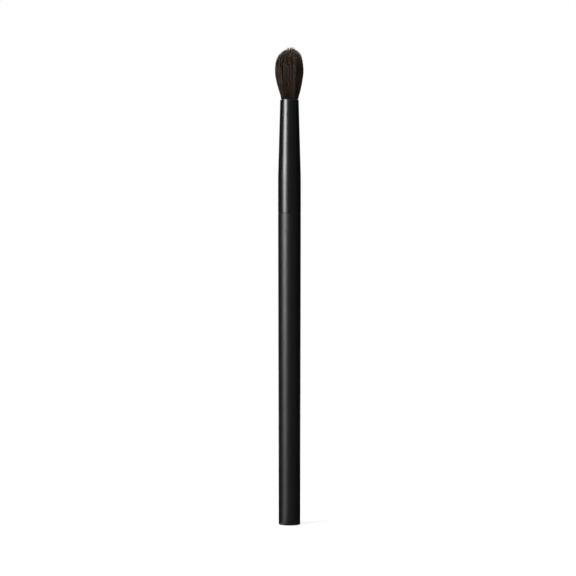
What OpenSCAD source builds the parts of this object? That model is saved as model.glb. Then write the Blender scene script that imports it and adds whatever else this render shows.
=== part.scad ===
// Eyeshadow blending brush: a turned wooden handle, a tapered ferrule and a round, domed hair tuft.
// Z runs along the brush, from the centre of the butt face up to the hair tips.

/* [Handle] */
// Length of the handle that shows, from the butt to the ferrule
handle_len = 111.5; // [90:0.5:140]
// Diameter of the handle at the butt
butt_d = 7.75; // [6:0.05:9]
// Radius that rounds the edge of the butt
butt_round = 0.45; // [0.2:0.05:1]
// Bevel on the two edges that meet at the seam of handle and ferrule
seam_bevel = 0.12; // [0.05:0.01:0.2]
// Bevel on the tenon's end, which leads it into the ferrule
tenon_bevel = 0.5; // [0.2:0.1:1]
// Width of each glue groove around the tenon
groove_w = 0.8; // [0.4:0.1:1.2]
// Depth of each glue groove
groove_depth = 0.25; // [0.1:0.05:0.4]
// Number of glue grooves
groove_count = 2; // [1:1:4]

/* [Ferrule] */
// Outer diameter of the ferrule's straight barrel, with which the handle is flush
ferrule_d = 8.16; // [7:0.02:10]
// Length of the whole ferrule
ferrule_len = 40.7; // [34:0.1:50]
// Length of the ferrule's straight barrel
barrel_len = 12.9; // [6:0.1:18]
// Outer diameter of the ferrule at its mouth
mouth_d = 6.62; // [5.5:0.01:7.5]
// Wall of the ferrule tube
ferrule_wall = 0.4; // [0.25:0.05:0.6]

/* [Hair] */
// Height of the tuft's belly above the ferrule's mouth
belly_h = 10.7; // [6:0.1:16]
// Diameter of the tuft at its belly
belly_d = 9.95; // [8:0.05:13]
// Height of the dome above the belly
dome_h = 7.1; // [3:0.1:10]
// How far the outer strands lean back in above the belly, as a share of the belly's radius
curl_share = 0.35; // [0.1:0.05:0.5]
// Number of strands, each of which stands for a lock of hairs
strand_count = 300; // [300:10:320]
// Thickness of a strand as a share of the room that it has
strand_share = 0.86; // [0.5:0.02:0.9]
// How far the shortest tips lie below the dome, as a share of the tuft's height
ragged_share = 0.05; // [0:0.01:0.08]
// Depth of the packed roots inside the ferrule
root_len = 14; // [10:0.5:18]

/* [Binding and glue] */
// Thickness of the thread that ties the roots
thread_d = 0.36; // [0.2:0.02:0.5]
// Number of turns of the thread
thread_turns = 5; // [3:1:8]
// Height of the lowest turn above the epoxy
thread_rise = 1.6; // [0.5:0.1:2.5]
// Thickness of the glue between tenon and ferrule
glue_gap = 0.12; // [0.08:0.01:0.2]
// Depth of the epoxy below the ends of the hairs
epoxy_len = 3; // [1.5:0.5:5]
// Depth to which the roots are sunk in the epoxy
epoxy_grip = 1.2; // [0.5:0.1:2]
// Thickness of the epoxy around the sunken roots
epoxy_wall = 0.5; // [0.2:0.05:0.8]
// Air space in the ferrule between the tenon and the epoxy
air_gap = 11; // [2:0.5:12]

/* [Hidden] */

$fn = 96;
// Gap between pieces that fill each other
fit = 0.02;
// Overrun of the cuts and of joined pieces
over = 1;
// Straight pieces in a rounded edge
arc_steps = 2;

// The rim of the ferrule's mouth is a half round, as wide as the wall
lip_r = ferrule_wall / 2;

seam_z = handle_len;
barrel_top_z = seam_z + barrel_len;
mouth_z = seam_z + ferrule_len;
lip_z = mouth_z - lip_r;
roots_z = mouth_z - root_len;
epoxy_z = roots_z - epoxy_len;
epoxy_top_z = roots_z + epoxy_grip;
tenon_top_z = epoxy_z - air_gap;

// The strands are joined at their feet to a slice of the packed roots
slice_h = 1;
slice_z = lip_z - slice_h;

// Radius of the ferrule's bore at height z
function bore_r(z) = (z < barrel_top_z ? ferrule_d
    : ferrule_d + (mouth_d - ferrule_d) * (z - barrel_top_z) / (mouth_z - barrel_top_z)) / 2 - ferrule_wall;

// Side of a plug that keeps a gap to the bore, from height z0 up to z1
function bore_side(z0, z1, gap) =
    [for (z = [z0, if (z0 < barrel_top_z && barrel_top_z < z1) barrel_top_z, z1]) [bore_r(z) - gap, z]];

// Points of a rounded edge around (r, z), from angle a0 to a1
function arc(r, z, radius, a0, a1) = [for (k = [0 : arc_steps])
    let (a = a0 + (a1 - a0) * k / arc_steps) [r + radius * cos(a), z + radius * sin(a)]];

module bore_plug(z0, z1, gap) {
    rotate_extrude() polygon(concat([[0, z0]], bore_side(z0, z1, gap), [[0, z1]]));
}

// Square ring that a cut takes away from height z up, outside radius r
module ring(z, h, r) {
    translate([0, 0, z]) difference() {
        cylinder(h = h, r = bore_r(z));
        translate([0, 0, -over]) cylinder(h = h + 2 * over, r = r);
    }
}

// The tenon, or with grow above zero the room that it needs in the glue
module tenon(grow = 0) {
    gap = glue_gap - grow;
    pitch = (tenon_top_z - seam_z) / (groove_count + 1);
    difference() {
        rotate_extrude() polygon(concat([[0, seam_z - over]],
            bore_side(seam_z - over, tenon_top_z - tenon_bevel, gap),
            [[bore_r(tenon_top_z) - gap - tenon_bevel, tenon_top_z + grow], [0, tenon_top_z + grow]]));
        for (k = [1 : groove_count]) {
            z = seam_z + pitch * k - groove_w / 2 + grow;
            ring(z, groove_w - 2 * grow, bore_r(z) - gap - groove_depth);
        }
    }
}

module handle() {
    top_r = ferrule_d / 2;
    color([0.09, 0.085, 0.09]) {
        rotate_extrude() polygon(concat([[0, 0]],
            arc(butt_d / 2 - butt_round, butt_round, butt_round, -90, 0),
            [[top_r, seam_z - seam_bevel], [top_r - seam_bevel, seam_z], [0, seam_z]]));
        tenon();
    }
}

module handle_adhesive() {
    color([0.85, 0.78, 0.55]) difference() {
        bore_plug(seam_z + fit, tenon_top_z, fit);
        tenon(fit);
    }
}

module ferrule() {
    barrel_r = ferrule_d / 2;
    color([0.12, 0.12, 0.12]) rotate_extrude() polygon(concat(
        [[bore_r(seam_z), seam_z], [barrel_r - seam_bevel, seam_z], [barrel_r, seam_z + seam_bevel],
         [barrel_r, barrel_top_z]],
        arc(bore_r(lip_z) + lip_r, lip_z, lip_r, 0, 180),
        [[bore_r(barrel_top_z), barrel_top_z]]));
}

// Radius of the roots' foot, which the epoxy surrounds
foot_r = bore_r(roots_z) - epoxy_wall;

module root_epoxy_plug() {
    color([0.8, 0.72, 0.5]) difference() {
        bore_plug(epoxy_z, epoxy_top_z, fit);
        translate([0, 0, roots_z]) cylinder(h = epoxy_grip + over, r = foot_r + fit);
    }
}

// Each turn of the thread is pressed onto the next, so that the pitch is less than its thickness
press_angle = 60;
thread_r = thread_d / 2;
thread_pitch = thread_d * sin(press_angle);
thread_h = thread_pitch * thread_turns;
thread_z = epoxy_top_z + thread_rise;
// Inner radius of the winding
wind_r = bore_r(thread_z + thread_h) - fit - thread_d;

module binding_thread() {
    color([0.75, 0.7, 0.62]) rotate_extrude() polygon([
        [wind_r, thread_z],
        for (k = [0 : thread_turns - 1]) let (z = thread_z + (k + 0.5) * thread_pitch)
            each arc(wind_r + thread_r, z, thread_r, -press_angle, press_angle),
        [wind_r, thread_z + thread_h]
    ]);
}

module hair_root_bundle() {
    color([0.15, 0.11, 0.09]) difference() {
        bore_plug(roots_z, slice_z, fit);
        // Room for the epoxy's rim around the foot
        ring(roots_z - over, epoxy_grip + over + fit, foot_r);
        // Waist that the thread draws in
        ring(thread_z - fit, thread_h + 2 * fit, wind_r - fit);
    }
}

// Closest spacing of a sunflower layout on a disc of radius 1, times the root of its count
sunflower_spacing = 1.54;
golden_turn = 180 * (3 - sqrt(5));
golden_part = (sqrt(5) - 1) / 2;

strand_sides = 3;
strand_w_share = strand_share * sunflower_spacing / sqrt(strand_count);
// Room between the strands and the bore, and the depth to which their feet reach into the slice
hair_gap = 0.06;
strand_sink = 0.05;
// Height of a strand's lowest ring above the mouth, as a share of the belly's height
low_ring_share = 0.45;
// The upper ring lies at the belly, or at this share of the strand's own height if that is lower
high_ring_share = 0.92;
// Thickness of a strand at its foot and its two rings, as shares of its full thickness
thick_shares = [1, 1, 0.95];

// Radii of the outermost strands' middles at the mouth and at the belly
root_r = (bore_r(mouth_z) - hair_gap) / (1 + strand_w_share / 2);
belly_r = belly_d / 2 / (1 + strand_w_share / 2);

// Radius that the outermost strands keep at height h above the mouth
function path_r(h) = h < belly_h
    ? root_r + (belly_r - root_r) * sin(90 * max(h, 0) / belly_h)
    : belly_r * (1 - curl_share * pow((h - belly_h) / dome_h, 2));

// Height above the mouth at which the strand at a share of the radius meets the dome's ellipse
function dome_top(share) =
    let (a = pow(share * curl_share, 2), b = 1 - 2 * curl_share * share * share, c = share * share - 1)
    belly_h + dome_h * sqrt((sqrt(b * b - 4 * a * c) - b) / (2 * a));

// One strand of the sunflower layout, from its foot over two rings to a pointed tip
module strand(i) {
    place_share = sqrt((i + 0.5) / strand_count);
    short_share = ragged_share * ((i * golden_part) % 1);
    tip_h = dome_top(place_share) - short_share * (belly_h + dome_h);
    ring_h = [-lip_r - strand_sink, low_ring_share * belly_h, min(belly_h, high_ring_share * tip_h)];
    n = strand_sides;
    top = len(ring_h) - 1;
    corners = [
        for (k = [0 : top])
            let (r = path_r(ring_h[k]), w = r * thick_shares[k] * strand_w_share / 2)
            for (s = [0 : n - 1]) [r * place_share + w * cos(360 * s / n), w * sin(360 * s / n), ring_h[k]],
        [path_r(tip_h) * place_share, 0, tip_h]
    ];
    faces = [
        [for (s = [0 : n - 1]) s],
        for (k = [0 : top - 1]) for (s = [0 : n - 1]) let (t = (s + 1) % n)
            each [[k * n + s, (k + 1) * n + t, k * n + t], [k * n + s, (k + 1) * n + s, (k + 1) * n + t]],
        for (s = [0 : n - 1]) [top * n + s, len(corners) - 1, top * n + (s + 1) % n]
    ];
    translate([0, 0, mouth_z]) rotate(i * golden_turn) polyhedron(corners, faces);
}

module hair_tuft() {
    color([0.17, 0.13, 0.11]) {
        bore_plug(slice_z, lip_z, fit);
        for (i = [0 : strand_count - 1]) strand(i);
    }
}

handle();
handle_adhesive();
ferrule();
root_epoxy_plug();
binding_thread();
hair_root_bundle();
hair_tuft();
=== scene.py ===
import math

import bpy
import numpy as np
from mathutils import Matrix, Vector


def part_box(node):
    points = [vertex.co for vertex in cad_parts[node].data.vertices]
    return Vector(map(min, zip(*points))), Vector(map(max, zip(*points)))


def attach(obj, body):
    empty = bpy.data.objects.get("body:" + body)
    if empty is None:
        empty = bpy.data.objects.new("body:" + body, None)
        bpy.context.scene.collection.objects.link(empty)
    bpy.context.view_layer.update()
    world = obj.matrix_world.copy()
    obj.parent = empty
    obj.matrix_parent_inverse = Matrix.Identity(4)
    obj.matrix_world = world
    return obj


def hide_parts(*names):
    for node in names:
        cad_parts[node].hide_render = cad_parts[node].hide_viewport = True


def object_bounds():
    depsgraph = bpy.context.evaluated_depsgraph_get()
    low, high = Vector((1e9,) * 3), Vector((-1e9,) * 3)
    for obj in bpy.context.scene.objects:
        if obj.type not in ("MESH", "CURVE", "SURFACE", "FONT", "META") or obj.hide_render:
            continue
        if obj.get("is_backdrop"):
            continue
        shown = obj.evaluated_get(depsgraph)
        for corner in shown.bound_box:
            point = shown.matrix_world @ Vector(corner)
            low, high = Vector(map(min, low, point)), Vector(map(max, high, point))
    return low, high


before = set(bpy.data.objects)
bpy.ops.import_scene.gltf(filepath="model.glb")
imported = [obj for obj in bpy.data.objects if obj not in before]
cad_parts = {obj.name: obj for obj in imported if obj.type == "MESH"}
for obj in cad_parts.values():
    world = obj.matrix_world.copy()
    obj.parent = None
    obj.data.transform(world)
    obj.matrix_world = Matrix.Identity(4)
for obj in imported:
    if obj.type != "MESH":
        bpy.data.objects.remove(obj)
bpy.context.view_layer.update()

# Handle: a slim birch dowel, turned with a slight taper to a flat butt and dipped in black satin
# lacquer. The bare tenon at its top, with two glue grooves, is pushed into the ferrule's barrel.

MM = 0.001
tenon_top_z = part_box("handle")[1].z
ferrule_low, ferrule_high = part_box("ferrule")
seam_z = ferrule_low.z
mouth_z = ferrule_high.z
barrel_r = ferrule_high.x

butt_r = 3.875 * MM
butt_round = 0.45 * MM
butt_steps = 10
shaft_rings = 24
seam_bevel = 0.12 * MM
tenon_r = 3.56 * MM
tenon_bevel = 0.5 * MM
groove_w = 0.8 * MM
groove_depth = 0.25 * MM
groove_count = 2
crisp_angle = math.radians(30)
seam_margin = 0.01 * MM  # how far below the seam a face may lie and still be bare wood

lacquer_dark = (0.0017, 0.0016, 0.0017)
lacquer_pale = (0.0031, 0.0030, 0.0030)
lacquer_sheen = 0.92
lacquer_ripple = 0.004 * MM
birch_dark = (0.42, 0.29, 0.17)
birch_pale = (0.66, 0.50, 0.33)
birch_pore = 0.03 * MM


def rounded(r, z, radius, first, last, steps):
    """Rows of a rounded edge: (r + radius cos a, z + radius sin a) for angles a from first to
    last, in degrees."""
    a = np.radians(np.linspace(first, last, steps + 1))
    return np.column_stack([r + radius * np.cos(a), z + radius * np.sin(a)])


def turned_piece(name, rows, sides=128, tube=False):
    """A turned piece. Row (r, z) of the profile goes round the Z axis as (r cos a, r sin a, z),
    with a = 2 pi s / sides. A rod's first and last rows lie on the axis and shrink to one point
    each; a tube's last row joins its first. Edges sharper than crisp_angle stay crisp."""
    rows = np.asarray(rows, float)
    rings = rows if tube else rows[1:-1]
    count = len(rings)
    a = 2 * np.pi * np.arange(sides) / sides
    points = np.stack([np.outer(rings[:, 0], np.cos(a)), np.outer(rings[:, 0], np.sin(a)),
                       np.outer(rings[:, 1], np.ones(sides))], -1).reshape(-1, 3)
    k, s = np.meshgrid(np.arange(count if tube else count - 1), np.arange(sides), indexing="ij")
    up, on = (k + 1) % count, (s + 1) % sides
    faces = np.stack([k * sides + s, k * sides + on, up * sides + on, up * sides + s], -1)
    faces = faces.reshape(-1, 4).tolist()
    if not tube:
        foot, head = len(points), len(points) + 1
        points = np.vstack([points, [0, 0, rows[0, 1]], [0, 0, rows[-1, 1]]])
        s, on = np.arange(sides), (np.arange(sides) + 1) % sides
        top = (count - 1) * sides
        faces += np.column_stack([np.full(sides, foot), on, s]).tolist()
        faces += np.column_stack([np.full(sides, head), top + s, top + on]).tolist()
    mesh = bpy.data.meshes.new(name)
    mesh.from_pydata(points, [], faces)
    mesh.shade_smooth()
    mesh.set_sharp_from_angle(angle=crisp_angle)
    piece = bpy.data.objects.new(name, mesh)
    bpy.context.scene.collection.objects.link(piece)
    return piece


def new_finish(name):
    """A node material, with its tree and the shader that gives the surface."""
    finish = bpy.data.materials.new(name)
    finish.use_nodes = True
    return finish, finish.node_tree, finish.node_tree.nodes["Principled BSDF"]


def put(tree, kind, sockets=(), **options):
    """Adds a node of this kind with its options. Each pair of sockets sets an input to a
    constant, or links it to another node's output."""
    node = tree.nodes.new("ShaderNode" + kind)
    for option, value in options.items():
        setattr(node, option, value)
    for name, value in dict(sockets).items():
        if isinstance(value, bpy.types.NodeSocket):
            tree.links.new(value, node.inputs[name])
        else:
            node.inputs[name].default_value = value
    return node


def grain(tree, stretch, scale, detail=3.0, rough=0.5):
    """Noise in the piece's own coordinates, which are stretched by a factor along each axis."""
    place = put(tree, "TexCoord").outputs["Object"]
    drawn = put(tree, "Mapping", {"Vector": place, "Scale": stretch}).outputs["Vector"]
    noise = put(tree, "TexNoise", {"Vector": drawn, "Scale": scale, "Detail": detail,
                                   "Roughness": rough})
    return noise.outputs["Fac"]


def spread(tree, value, low, high, least=0.3, most=0.7, soft=False):
    """Maps a value from [least, most] to [low, high], and to the nearer end outside. Soft eases
    it in and out. A noise keeps mostly between 0.3 and 0.7."""
    return put(tree, "MapRange", {"Value": value, "From Min": least, "From Max": most,
                                  "To Min": low, "To Max": high},
               interpolation_type="SMOOTHSTEP" if soft else "LINEAR").outputs["Result"]


def two_tone(tree, factor, dark, pale):
    """A colour between dark and pale."""
    mix = put(tree, "Mix", data_type="RGBA")
    tree.links.new(factor, mix.inputs["Factor"])
    mix.inputs["A"].default_value = (*dark, 1)
    mix.inputs["B"].default_value = (*pale, 1)
    return mix.outputs["Result"]


def dress(tree, skin, colour, roughness):
    """Gives the skin its colour and its roughness."""
    tree.links.new(colour, skin.inputs["Base Color"])
    tree.links.new(roughness, skin.inputs["Roughness"])


def relief(tree, skin, height, depth, strength=1.0):
    """Gives the skin a bump, with the height in metres between the noise's low and high."""
    bump = put(tree, "Bump", {"Height": height, "Distance": depth, "Strength": strength})
    tree.links.new(bump.outputs["Normal"], skin.inputs["Normal"])


lacquer, tree, skin = new_finish("handle_black_satin_lacquer")
dress(tree, skin,
      two_tone(tree, grain(tree, stretch=(1, 1, 0.35), scale=260), lacquer_dark, lacquer_pale),
      spread(tree, grain(tree, stretch=(1, 1, 0.4), scale=420), low=0.405, high=0.445))
skin.inputs["Specular IOR Level"].default_value = lacquer_sheen
relief(tree, skin, grain(tree, stretch=(1, 1, 0.6), scale=1100, detail=2.0), lacquer_ripple,
       strength=0.5)

bare_birch, tree, skin = new_finish("handle_tenon_bare_birch")
birch_fibres = grain(tree, stretch=(1, 1, 0.05), scale=2600, detail=4.0)
dress(tree, skin, two_tone(tree, birch_fibres, birch_dark, birch_pale),
      spread(tree, grain(tree, stretch=(1, 1, 0.1), scale=1500), low=0.55, high=0.75))
relief(tree, skin, grain(tree, stretch=(1, 1, 0.06), scale=3000), birch_pore)

pitch = (tenon_top_z - seam_z) / (groove_count + 1)
tenon_rows = [[tenon_r, seam_z]]
for g in range(1, groove_count + 1):
    low = seam_z + pitch * g - groove_w / 2
    tenon_rows += [[tenon_r, low], [tenon_r - groove_depth, low],
                   [tenon_r - groove_depth, low + groove_w], [tenon_r, low + groove_w]]
tenon_rows += [[tenon_r, tenon_top_z - tenon_bevel], [tenon_r - tenon_bevel, tenon_top_z],
               [0, tenon_top_z]]
shaft_z = np.linspace(butt_round, seam_z - seam_bevel, shaft_rings)[1:]
shaft_r = butt_r + (barrel_r - butt_r) * shaft_z / seam_z
butt_rows = rounded(butt_r - butt_round, butt_round, butt_round, -90, 0, butt_steps)
handle = turned_piece("handle_rod", np.vstack([
    [[0, 0]], butt_rows, np.column_stack([shaft_r, shaft_z]),
    [[barrel_r - seam_bevel, seam_z]], tenon_rows]))
handle.data.materials.append(lacquer)
handle.data.materials.append(bare_birch)
face_mid = np.empty(3 * len(handle.data.polygons))
handle.data.polygons.foreach_get("center", face_mid)
on_tenon = face_mid[2::3] > seam_z - seam_margin
handle.data.polygons.foreach_set("material_index", on_tenon.astype(np.int32))
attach(handle, "root")
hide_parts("handle")

# Handle adhesive: a thin film of cream-coloured wood glue between tenon and ferrule. It was
# brushed on the tenon, filled the grooves and set hard. Nothing of it shows outside.

glue_dark = (0.62, 0.53, 0.31)
glue_pale = (0.78, 0.70, 0.47)
glue_lump = 0.02 * MM


def finish_node(node, finish):
    """Puts the finish on every material slot of a piece that keeps its solid."""
    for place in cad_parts[node].material_slots:
        place.material = finish


glue, tree, skin = new_finish("handle_cream_glue")
dress(tree, skin, two_tone(tree, grain(tree, stretch=(1, 1, 1), scale=900), glue_dark, glue_pale),
      spread(tree, grain(tree, stretch=(1, 1, 1), scale=1600), low=0.3, high=0.5))
relief(tree, skin, grain(tree, stretch=(1, 1, 1), scale=2400), glue_lump)
finish_node("handle_adhesive", glue)

# Ferrule: a thin metal tube, drawn and swaged to a long taper, with a straight barrel over the
# tenon and a rolled, rounded lip at the mouth. Its black coat is a little glossier than the
# handle's lacquer, and keeps faint rings from the spinning.

ferrule_wall = 0.4 * MM
lip_r = ferrule_wall / 2
lip_steps = 16
mouth_r = 3.31 * MM
taper_z = 124.4 * MM
taper_blend = 1.2 * MM  # half the height over which the barrel turns into the taper
barrel_rings = 6
blend_rings = 9
taper_rings = 12

coat_dark = (0.0018, 0.0021, 0.0020)
coat_pale = (0.0031, 0.0035, 0.0034)
coat_sheen = 1.0
coat_ring = 0.0006 * MM


def tube_radius(z):
    """Outer radius of the ferrule: the barrel's up to the taper, then falling evenly to the
    mouth's. Round the start of the taper it follows the parabola that meets both without a
    kink."""
    slope = (mouth_r - barrel_r) / (mouth_z - taper_z)
    in_blend = np.clip(z - taper_z + taper_blend, 0, 2 * taper_blend)
    past_blend = np.maximum(z - taper_z - taper_blend, 0)
    return barrel_r + slope * (in_blend ** 2 / (4 * taper_blend) + past_blend)


outer_z = np.concatenate([
    np.linspace(seam_z + seam_bevel, taper_z - taper_blend, barrel_rings),
    np.linspace(taper_z - taper_blend, taper_z + taper_blend, blend_rings)[1:],
    np.linspace(taper_z + taper_blend, mouth_z - lip_r, taper_rings)[1:-1]])
lip_mid = tube_radius(np.array([mouth_z - lip_r]))[0] - lip_r
lip_rows = rounded(lip_mid, mouth_z - lip_r, lip_r, 0, 180, lip_steps)
inner_z = outer_z[::-1]
ferrule = turned_piece("ferrule_tube", np.vstack([
    [[barrel_r - ferrule_wall, seam_z], [barrel_r - seam_bevel, seam_z]],
    np.column_stack([tube_radius(outer_z), outer_z]), lip_rows,
    np.column_stack([tube_radius(inner_z) - ferrule_wall, inner_z])]), tube=True)

black_coat, tree, skin = new_finish("ferrule_black_coated_metal")
coat_colour = two_tone(tree, grain(tree, stretch=(1, 1, 1), scale=500), coat_dark, coat_pale)
rings = grain(tree, stretch=(0.02, 0.02, 1), scale=9000, rough=0.6)
dress(tree, skin, coat_colour, spread(tree, rings, low=0.315, high=0.345))
skin.inputs["Specular IOR Level"].default_value = coat_sheen
relief(tree, skin, rings, coat_ring, strength=0.5)
ferrule.data.materials.append(black_coat)
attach(ferrule, "root")
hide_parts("ferrule")

# Root epoxy plug: honey-coloured epoxy, poured in behind the roots' ends before the handle went
# in. It has a few small bubbles and holds the hairs for good.

epoxy_dark = (0.52, 0.36, 0.12)
epoxy_pale = (0.72, 0.56, 0.26)
bubble_scale = 2200.0
bubble_depth = 0.03 * MM

epoxy, tree, skin = new_finish("root_honey_epoxy")
place = put(tree, "TexCoord").outputs["Object"]
bubbles = put(tree, "TexVoronoi", {"Vector": place, "Scale": bubble_scale}).outputs["Distance"]
dress(tree, skin,
      two_tone(tree, grain(tree, stretch=(1, 1, 1), scale=700), epoxy_dark, epoxy_pale),
      spread(tree, bubbles, low=0.12, high=0.3, least=0.0, most=0.6))
relief(tree, skin, bubbles, bubble_depth)
finish_node("root_epoxy_plug", epoxy)

# Binding thread: five turns of pale waxed thread, wound tight round the roots so that they can
# be pushed into the ferrule from below. The twist of its fibres runs at a slant.

thread_dark = (0.46, 0.41, 0.33)
thread_pale = (0.72, 0.67, 0.56)
twist_slant = 0.6
twist_scale = 2600.0
twist_depth = 0.02 * MM

wound_thread, tree, skin = new_finish("binding_waxed_thread")
place = put(tree, "TexCoord").outputs["Object"]
slanted_place = put(tree, "Mapping", {"Vector": place, "Rotation": (0.0, twist_slant, 0.0)})
twist = put(tree, "TexWave", {"Vector": slanted_place.outputs["Vector"], "Scale": twist_scale,
                              "Distortion": 2.0, "Detail": 2.0}).outputs["Fac"]
dress(tree, skin, two_tone(tree, twist, thread_dark, thread_pale),
      spread(tree, twist, low=0.5, high=0.7, least=0.0, most=1.0))
relief(tree, skin, twist, twist_depth)
finish_node("binding_thread", wound_thread)

# Root bundle: the same hairs, packed side by side in the ferrule's taper, straight and dark, with
# the waist that the thread draws in.

roots_dark = (0.006, 0.0045, 0.004)
roots_pale = (0.032, 0.025, 0.021)
root_furrow = 0.05 * MM

packed_roots, tree, skin = new_finish("packed_hair_roots")
root_streaks = grain(tree, stretch=(1, 1, 0.02), scale=16000, detail=2.0)
dress(tree, skin, two_tone(tree, root_streaks, roots_dark, roots_pale),
      spread(tree, root_streaks, low=0.45, high=0.6))
relief(tree, skin, root_streaks, root_furrow)
finish_node("hair_root_bundle", packed_roots)

# Hair tuft: dark brown-black natural hairs, about 0.07 mm thick, set by hand in a round, domed
# tuft. They stand packed in the ferrule's mouth, spread to the belly and lean back in. They form
# soft locks, some of which cross, and the locks' fine points make a fuzzy crown. Lengths in mm.

hair_count = 4400
lock_count = 210
hair_rings = 8
hair_sides = 3
ring_power = 0.9  # below 1 the rings lie a little closer to the tip
hair_r = 0.037
hair_r_shares = (0.75, 1.2)
thin_from_share = 0.62  # of the length, where a hair starts to thin
thin_power = 1.3
tip_share = 0.18  # of the thickness, left at the tip

foot_h = -1.2
root_r = 2.84
belly_h = 10.7
belly_r = 5.18
swell = 1.52
dome_h = 7.45
dome_power = 2.4
dome_end_share = 0.975  # of the dome's height, above which its radius stays the same
curl = 0.22
rim_share = 0.998  # of the radius, past which no hair is seated

seat_scatter = 0.006
lock_scatter = 0.018
gather_shares = (0.45, 0.95)  # of the way to its lock's middle
early_gather_share = 0.3  # of that way, gone evenly along the hair; the rest is gone near the tip
late_gather_power = 5
lock_turn_scatter = 0.05
crossing_share = 0.1
crossing_times = 3.5
hair_turn_scatter = 0.02
slanted_share = 0.125
slant_scatter = 0.38
wave_r = 0.04
wave_halves = (0.8, 2.2)  # half waves along a hair

tip_rise = 0.5
tip_scatter = 0.5
lock_tip_scatter = 0.42
lock_tip_span = (-0.85, 0.5)
outer_extra = (0.4, 3.4)  # length that the outermost hairs have over the dome's
outer_power = 5
stray_share = 0.015
stray_extra = (0.1, 0.5)
stray_stand = (1.01, 1.05)
stray_loose = 0.35  # how far the dome lets a hair stand out
hair_loose = 0.06
lock_loose = 0.1
lock_relief = 0.013

crown_lean = 0.42
belly_lean = 1.1
foot_lean = 3.6

middle_tone = 0.5
lock_tone_scatter = 0.15
slanted_tone = 0.2
hair_tone_scatter = 0.16
rng = np.random.default_rng(38)


def tuft_radius(h):
    """Radius that the outermost hairs keep at height h above the mouth. Up to the belly it is
    belly_r less (belly_r - root_r) times (1 - h / belly_h) ^ swell, and above it falls along a
    parabola."""
    below = belly_r - (belly_r - root_r) * (1 - np.clip(h / belly_h, 0, 1)) ** swell
    return np.where(h < belly_h, below, belly_r * (1 - curl * ((h - belly_h) / dome_h) ** 2))


def dome_top(share):
    """Height above the mouth at which a hair at this share of the radius meets a dome that is
    half an ellipse: the positive root t squared of share^2 (1 - curl t^2)^2 + t^2 = 1."""
    a, b, c = (share * curl) ** 2, 1 - 2 * curl * share ** 2, share ** 2 - 1
    return belly_h + dome_h * np.sqrt((np.sqrt(b * b - 4 * a * c) - b) / (2 * a))


def dome_radius(h):
    """Radius within which the dome holds the hairs at height h above the mouth: belly_r times
    (1 - t^n)^(1/n), with t the share of the dome's height and n the dome_power, a little over
    2, so that its shoulders are fuller than an ellipse's."""
    t = np.clip((h - belly_h) / dome_h, 0, dome_end_share)
    return belly_r * (1 - t ** dome_power) ** (1 / dome_power)


def sunflower(count):
    """Even places on a disc of radius 1: share sqrt((i + 1/2) / count) at i golden turns."""
    i = np.arange(count)
    turn = i * np.pi * (3 - math.sqrt(5))
    return np.sqrt((i + 0.5) / count)[:, None] * np.column_stack([np.cos(turn), np.sin(turn)])


seat = sunflower(hair_count) + rng.normal(0, seat_scatter, (hair_count, 2))
seat /= np.maximum(np.linalg.norm(seat, axis=1) / rim_share, 1)[:, None]
share = np.linalg.norm(seat, axis=1)
lock_seat = sunflower(lock_count) + rng.normal(0, lock_scatter, (lock_count, 2))
lock = np.argmin(((seat[:, None] - lock_seat[None]) ** 2).sum(-1), axis=1)

# How far each hair is drawn to its lock's middle, and how far each lock turns round the tuft on
# its way up: one in ten turns more than the rest and crosses them.
gather = rng.uniform(*gather_shares, hair_count)
lock_turn = rng.normal(0, lock_turn_scatter, lock_count)
lock_turn[rng.random(lock_count) < crossing_share] *= crossing_times
hair_turn = lock_turn[lock] + rng.normal(0, hair_turn_scatter, hair_count)

# One lock in eight leaves the mouth at a slant and lies across its neighbours' feet.
slanted = rng.random(lock_count) < slanted_share
slant = rng.normal(0, slant_scatter, lock_count) * slanted

# A hair ends near the dome, a little ragged, and each lock's end stands higher or lower as one.
# The outer hairs are as long as the inner ones, so that their tips lie on the dome's shoulders.
# A few strays stand off and reach beyond the rest, and whole locks stand a little out or in.
tip_h = dome_top(share) + tip_rise - np.abs(rng.normal(0, tip_scatter, hair_count))
tip_h += np.clip(rng.normal(0, lock_tip_scatter, lock_count), *lock_tip_span)[lock]
tip_h += share ** outer_power * rng.uniform(*outer_extra, hair_count)
stray = rng.random(hair_count) < stray_share
tip_h[stray] += rng.uniform(*stray_extra, stray.sum())
stand_off = np.where(stray, rng.uniform(*stray_stand, hair_count), 1.0)
stand_off += rng.normal(0, lock_relief, lock_count)[lock]

# The hair's middle line: its seat is drawn to the lock, mostly near the tip, then turned and
# carried out to the tuft's radius at that height, with a slight wave. Its lock's turn sets in
# along the way up, and a slant fades out. Above the belly the dome holds the hair in.
step = np.linspace(0, 1, hair_rings) ** ring_power
h = foot_h + (tip_h - foot_h)[:, None] * step
grow = np.clip(h / tip_h[:, None], 0, 1)
drawn = early_gather_share * grow + (1 - early_gather_share) * grow ** late_gather_power
pull = (gather[:, None] * drawn)[..., None]
flat = seat[:, None] * (1 - pull) + lock_seat[lock][:, None] * pull
angle = hair_turn[:, None] * grow ** 1.5 + slant[lock][:, None] * (1 - grow) ** 2
flat = np.stack([flat[..., 0] * np.cos(angle) - flat[..., 1] * np.sin(angle),
                 flat[..., 0] * np.sin(angle) + flat[..., 1] * np.cos(angle)], -1)
flat *= (1 + (stand_off[:, None] - 1) * grow ** 2)[..., None]
wave = rng.normal(0, wave_r, (hair_count, 1, 2))
wave = wave * np.sin(np.pi * grow * rng.uniform(*wave_halves, (hair_count, 1)))[..., None]
middle = flat * tuft_radius(h)[..., None] + wave
reach = np.linalg.norm(middle, axis=-1)
loose = rng.uniform(-hair_loose, hair_loose, hair_count)
loose += rng.normal(0, lock_loose, lock_count)[lock]
loose = np.where(stray, stray_loose, loose)[:, None]
held_share = np.minimum(1, (dome_radius(h) + loose) / np.maximum(reach, 1e-6))
middle = middle * np.where(h > belly_h, held_share, 1)[..., None]

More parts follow.
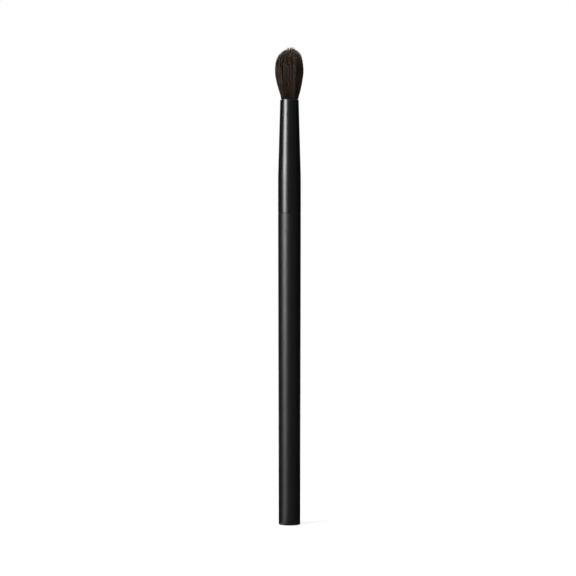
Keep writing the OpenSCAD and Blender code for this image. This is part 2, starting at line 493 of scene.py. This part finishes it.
# A hand-set tuft is never quite even: this one stands a little to the right at its foot, to the
# left at the belly and to the right again at the crown. With c for the share of the tuft's height,
# that is crown_lean c^6 - belly_lean c^2 (1 - c) + foot_lean c (1 - c)^8.
climb = h / (belly_h + dome_h)
middle[..., 0] += crown_lean * climb ** 6 - belly_lean * climb ** 2 * (1 - climb)
climb = np.clip(climb, 0, 1)
middle[..., 0] += foot_lean * climb * (1 - climb) ** 8

# Each hair keeps its thickness to two thirds of its length and then thins to a fine tip.
thinned = np.clip((step - thin_from_share) / (1 - thin_from_share), 0, 1) ** thin_power
thin = 1 - (1 - tip_share) * thinned
wide = hair_r * rng.uniform(*hair_r_shares, hair_count)[:, None] * thin
corner = 2 * np.pi * np.arange(hair_sides) / hair_sides
corner = corner + rng.uniform(0, 2 * np.pi, (hair_count, 1, 1))
points = np.stack([middle[..., 0, None] + wide[..., None] * np.cos(corner),
                   middle[..., 1, None] + wide[..., None] * np.sin(corner),
                   np.broadcast_to(h[..., None], (hair_count, hair_rings, hair_sides))], -1)
points = points.reshape(-1, 3) * MM + [0, 0, mouth_z]

first = (np.arange(hair_count) * hair_rings * hair_sides)[:, None, None]
k = np.arange(hair_rings - 1)[None, :, None] * hair_sides
s = np.arange(hair_sides)[None, None]
on = (s + 1) % hair_sides
sides = np.stack([first + k + s, first + k + on, first + k + hair_sides + on,
                  first + k + hair_sides + s], -1).reshape(-1, 4)
feet = first[:, 0] + np.arange(hair_sides)[::-1]
tips = first[:, 0] + (hair_rings - 1) * hair_sides + np.arange(hair_sides)
mesh = bpy.data.meshes.new("tuft_hairs")
mesh.from_pydata(points, [], sides.tolist() + feet.tolist() + tips.tolist())
mesh.shade_smooth()

# Each hair's own shade follows its lock's, so that the locks read as fine streaks. The slanted
# ones are paler.
lock_tone = lock_tone_scatter * rng.normal(0, 1, lock_count) + slanted_tone * slanted
tone = middle_tone + lock_tone[lock]
tone += hair_tone_scatter * rng.normal(0, 1, hair_count)
mesh.attributes.new("hair_tone", "FLOAT", "POINT").data.foreach_set(
    "value", np.repeat(np.clip(tone, 0, 1), hair_rings * hair_sides).astype(np.float32))
mesh.attributes.new("hair_length", "FLOAT", "POINT").data.foreach_set(
    "value", np.repeat(grow.reshape(-1), hair_sides).astype(np.float32))
tuft = bpy.data.objects.new("tuft_hairs", mesh)
bpy.context.scene.collection.objects.link(tuft)

hair_browns = [(0.0, (0.0110, 0.0062, 0.0043)), (0.45, (0.0460, 0.0235, 0.0155)),
               (0.7, (0.074, 0.042, 0.0295)), (1.0, (0.140, 0.095, 0.070))]
# How dark the hairs are made at the root: painted shade, not a colour of the hair itself
root_painted_shade = 0.4
tip_bleach = 1.5
hair_sheen = 0.4


def shades(tree, factor, stops):
    """A colour that runs through the stops. Each stop is a place from 0 to 1 and a colour."""
    node = put(tree, "ValToRGB", {"Fac": factor})
    marks = node.color_ramp.elements
    for mark, (place, colour) in zip(marks, (stops[0], stops[-1])):
        mark.position = place
        mark.color = (*colour, 1)
    for place, colour in stops[1:-1]:
        marks.new(place).color = (*colour, 1)
    return node.outputs["Color"]


def reckon(tree, operation, first, second):
    """The sum, difference, product or larger one of two values."""
    return put(tree, "Math", {0: first, 1: second}, operation=operation).outputs["Value"]


# The tone picks the brown, which is paler at the tip. Towards the root it is darkened: painted
# shade, for the shadow the packed hairs cast on each other there. Fine streaks run along the hair.
dark_hair, tree, skin = new_finish("tuft_dark_brown_hair")
own = put(tree, "Attribute", attribute_name="hair_tone").outputs["Fac"]
along = put(tree, "Attribute", attribute_name="hair_length").outputs["Fac"]
brown = shades(tree, own, hair_browns)
# Darker towards the root: painted shade where the hairs shadow each other
painted_root_shade = spread(tree, along, low=root_painted_shade, high=1.0, least=0.0, most=0.5)
to_tip = spread(tree, along, low=1.0, high=tip_bleach, least=0.82, most=1.0)
length = reckon(tree, "MULTIPLY", painted_root_shade, to_tip)
streaks = spread(tree, grain(tree, stretch=(1, 1, 0.1), scale=2400), low=0.7, high=1.3)
# The brown, times the painted root shade, the paler tips and the streaks
brown_with_painted_shade = put(tree, "Mix", {"Factor": 1.0}, data_type="RGBA", blend_type="MULTIPLY")
tree.links.new(brown, brown_with_painted_shade.inputs["A"])
tree.links.new(reckon(tree, "MULTIPLY", length, streaks), brown_with_painted_shade.inputs["B"])
dress(tree, skin, brown_with_painted_shade.outputs["Result"],
      spread(tree, grain(tree, stretch=(1, 1, 0.2), scale=7000), low=0.38, high=0.5))
skin.inputs["Specular IOR Level"].default_value = hair_sheen
tuft.data.materials.append(dark_hair)
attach(tuft, "root")
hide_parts("hair_tuft")

# Studio floor: a pale, matt table top under the brush. It keeps the brush's faint shadow, and
# further out it runs into plain white.

scene = bpy.context.scene
floor_half = 4.0
pale_floor_r = 0.10
white_floor_r = 0.45
floor_colour = (0.82, 0.82, 0.81, 1)
floor_lift = 0.52


def staged_sheet(name, points, faces):
    """A sheet of the studio's, from its corners."""
    mesh = bpy.data.meshes.new(name)
    mesh.from_pydata(np.asarray(points, float), [], faces)
    made = bpy.data.objects.new(name, mesh)
    scene.collection.objects.link(made)
    made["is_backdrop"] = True
    return made


def bare_finish(name):
    """A node material with nothing in it yet, with its tree and the socket that takes the
    shader."""
    finish = bpy.data.materials.new(name)
    finish.use_nodes = True
    tree = finish.node_tree
    tree.nodes.remove(tree.nodes["Principled BSDF"])
    return finish, tree, tree.nodes["Material Output"].inputs["Surface"]


def seen_plainly(tree):
    """1 for a ray from the camera, off a gloss or through glass, and 0 for any other."""
    ray = put(tree, "LightPath").outputs
    straight = reckon(tree, "MAXIMUM", ray["Is Camera Ray"], ray["Is Glossy Ray"])
    return reckon(tree, "MAXIMUM", straight, ray["Is Transmission Ray"])


def shine(tree, strength, colour=(1, 1, 1, 1)):
    """A surface that gives light."""
    return put(tree, "Emission", {"Color": colour, "Strength": strength}).outputs["Emission"]


def outward(tree, place, x, y):
    """How far a place lies out from the brush's axis, how much it lies towards (x, y), as the
    cosine of the angle between them, and its height."""
    level = put(tree, "VectorMath", {0: place, 1: (1, 1, 0)}, operation="MULTIPLY")
    far = put(tree, "VectorMath", {0: level.outputs["Vector"]}, operation="LENGTH")
    way = put(tree, "VectorMath", {0: level.outputs["Vector"]}, operation="NORMALIZE")
    toward = put(tree, "VectorMath", {0: way.outputs["Vector"], 1: (x, y, 0)},
                 operation="DOT_PRODUCT")
    height = put(tree, "SeparateXYZ", {0: place}).outputs["Z"]
    return far.outputs["Value"], toward.outputs["Value"], height


floor = staged_sheet("studio_floor", [(-floor_half, -floor_half, 0), (floor_half, -floor_half, 0),
                                      (floor_half, floor_half, 0), (-floor_half, floor_half, 0)],
                     [(0, 1, 2, 3)])
pale, tree, surface = bare_finish("studio_pale_floor")
place = put(tree, "TexCoord").outputs["Object"]
far, _, _ = outward(tree, place, 0, -1)
fade = spread(tree, far, 0.0, 1.0, pale_floor_r, white_floor_r, soft=True)
matt = put(tree, "BsdfDiffuse", {"Color": floor_colour}).outputs["BSDF"]
lifted = put(tree, "AddShader", {0: matt, 1: shine(tree, floor_lift)}).outputs["Shader"]
shown = put(tree, "MixShader", {0: fade, 1: lifted, 2: shine(tree, 1.0)}).outputs["Shader"]
table = put(tree, "MixShader", {0: seen_plainly(tree), 1: matt, 2: shown}).outputs["Shader"]
tree.links.new(table, surface)
floor.data.materials.append(pale)

# Studio softbox: one tall, soft lamp to the left in front. It is bright at its top and dims
# towards the floor, which draws the long highlight down the handle.

softbox_azimuth = math.radians(50.5)
softbox_away = 0.50
softbox_half = 0.113
softbox_top = 0.32
softbox_power = 18.3
# Pairs of a share of the height and the light there
softbox_levels = [(0.0, 0.038), (0.13, 0.072), (0.23, 0.118), (0.31, 0.120), (0.37, 0.29),
                  (0.40, 0.385), (0.43, 0.395), (0.50, 0.46), (0.62, 0.54), (0.68, 0.64),
                  (0.74, 1.0), (1.0, 1.0)]

lamp_x, lamp_y = -math.sin(softbox_azimuth), -math.cos(softbox_azimuth)
centre = np.array([lamp_x, lamp_y, 0]) * softbox_away
across = np.array([-lamp_y, lamp_x, 0]) * softbox_half
up = np.array([0, 0, softbox_top])
softbox = staged_sheet("studio_softbox", [centre + across, centre - across, centre - across + up,
                                          centre + across + up], [(0, 1, 2, 3)])
glow, tree, surface = bare_finish("studio_softbox_face")
place = put(tree, "TexCoord").outputs["Object"]
height = put(tree, "SeparateXYZ", {0: place}).outputs["Z"]
level = shades(tree, reckon(tree, "MULTIPLY", height, 1 / softbox_top),
               [(share_up, (grey, grey, grey)) for share_up, grey in softbox_levels])
in_front = reckon(tree, "SUBTRACT", 1.0, put(tree, "NewGeometry").outputs["Backfacing"])
power = reckon(tree, "MULTIPLY", in_front, softbox_power)
tree.links.new(shine(tree, power, level), surface)
softbox.data.materials.append(glow)
softbox.visible_camera = False
softbox.visible_shadow = False

# Studio screens: a ring of dark cloth and a dark table skirt that only reflections see, as
# photographers use to keep black lacquer black. All their light is painted reflection, from
# sheets that are no lamps: a dim grey in front, a painted pool of the lamp's light on the skirt
# below it, and a painted glow behind, high up and far out, so that the back isn't lost.

screen_r = 0.62
screen_h = 0.70
skirt_z = 0.4 * MM
skirt_tuck = 0.28 * MM
skirt_foot_z = 0.01 * MM
skirt_step = 0.4 * MM
ring_turns = 96

# front_way points to the middle of the dim screen in front. Each edge is the pair of values
# between which a screen's light sets in.
front_way = (0.26, -0.966)
front_light = 0.045
front_edge = (0.2, 0.6)
spill_light = 0.7
spill_edge = (0.955, 0.98)
rear_light = 9.0
rear_edge = (0.70, 1.0)
high_edge = (0.27, 0.36)
far_share = 0.3
far_edge = (0.22, 0.32)
skirt_edge = (0.001, 0.002)

a = 2 * np.pi * np.arange(ring_turns) / ring_turns
circle = np.column_stack([np.cos(a), np.sin(a), np.zeros(ring_turns)])
ring_rows = [(butt_r - skirt_tuck, skirt_foot_z), (butt_r + skirt_step, skirt_z),
             (screen_r, skirt_z), (screen_r, screen_h)]
points = np.vstack([circle * r + [0, 0, z] for r, z in ring_rows])
s = np.arange(ring_turns)
on = (s + 1) % ring_turns
faces = np.vstack([np.column_stack([s + k, s + k + ring_turns, on + k + ring_turns, on + k])
                   for k in ring_turns * np.arange(len(ring_rows) - 1)]).tolist()
screens = staged_sheet("studio_screens", points, faces)
screen_painted_reflection, tree, surface = bare_finish("studio_screen_painted_reflection")
place = put(tree, "TexCoord").outputs["Object"]
_, to_front, _ = outward(tree, place, *front_way)
_, to_lamp, height = outward(tree, place, lamp_x, lamp_y)
far, to_back, _ = outward(tree, place, 0, 1)
# Painted reflections: a dim grey in front, the lamp's painted pool on the skirt and a glow behind
on_skirt = spread(tree, height, 1.0, 0.0, *skirt_edge)
dim = spread(tree, to_front, 0.0, front_light, *front_edge)
spill = reckon(tree, "MULTIPLY", spread(tree, to_lamp, 0.0, spill_light, *spill_edge), on_skirt)
far_out = reckon(tree, "MULTIPLY", spread(tree, far, 0.0, far_share, *far_edge), on_skirt)
high_or_far = reckon(tree, "ADD", spread(tree, height, 0.0, 1.0, *high_edge), far_out)
behind = spread(tree, to_back, 0.0, rear_light, *rear_edge, soft=True)
total = reckon(tree, "ADD", reckon(tree, "MAXIMUM", dim, spill),
               reckon(tree, "MULTIPLY", behind, high_or_far))
tree.links.new(shine(tree, total), surface)
screens.data.materials.append(screen_painted_reflection)
for kind in ("camera", "diffuse", "transmission", "volume_scatter", "shadow"):
    setattr(screens, "visible_" + kind, False)

# Studio air and lens: soft light from all round, a little more of it from the front, and plain
# white to look at. The long lens looks level at the middle of the brush, which stands a little
# right of the picture's middle.

front_fill = 0.71
rear_fill = 0.42
lens_x = -0.53 * MM
lens_away = 0.68
lens_z = 84.7 * MM

air = bpy.data.worlds.new("studio_air")
scene.world = air
air.use_nodes = True
tree = air.node_tree
plain = tree.nodes["Background"]
plain.inputs["Color"].default_value = (1, 1, 1, 1)
to_back = put(tree, "SeparateXYZ", {0: put(tree, "TexCoord").outputs["Generated"]}).outputs["Y"]
fill = spread(tree, to_back, front_fill, rear_fill, -1.0, 1.0)
tree.links.new(spread(tree, seen_plainly(tree), fill, 1.0, 0.0, 1.0), plain.inputs["Strength"])

lens = bpy.data.cameras.new("camera")
lens.lens = 118.6
lens.sensor_width = 36.0
lens.clip_start = 0.05
lens.clip_end = 20.0
camera = bpy.data.objects.new("camera", lens)
camera.location = (lens_x, -lens_away, lens_z)
camera.rotation_euler = (math.radians(90), 0, 0)
scene.collection.objects.link(camera)
scene.camera = camera

scene.view_settings.view_transform = "Standard"

low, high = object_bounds()
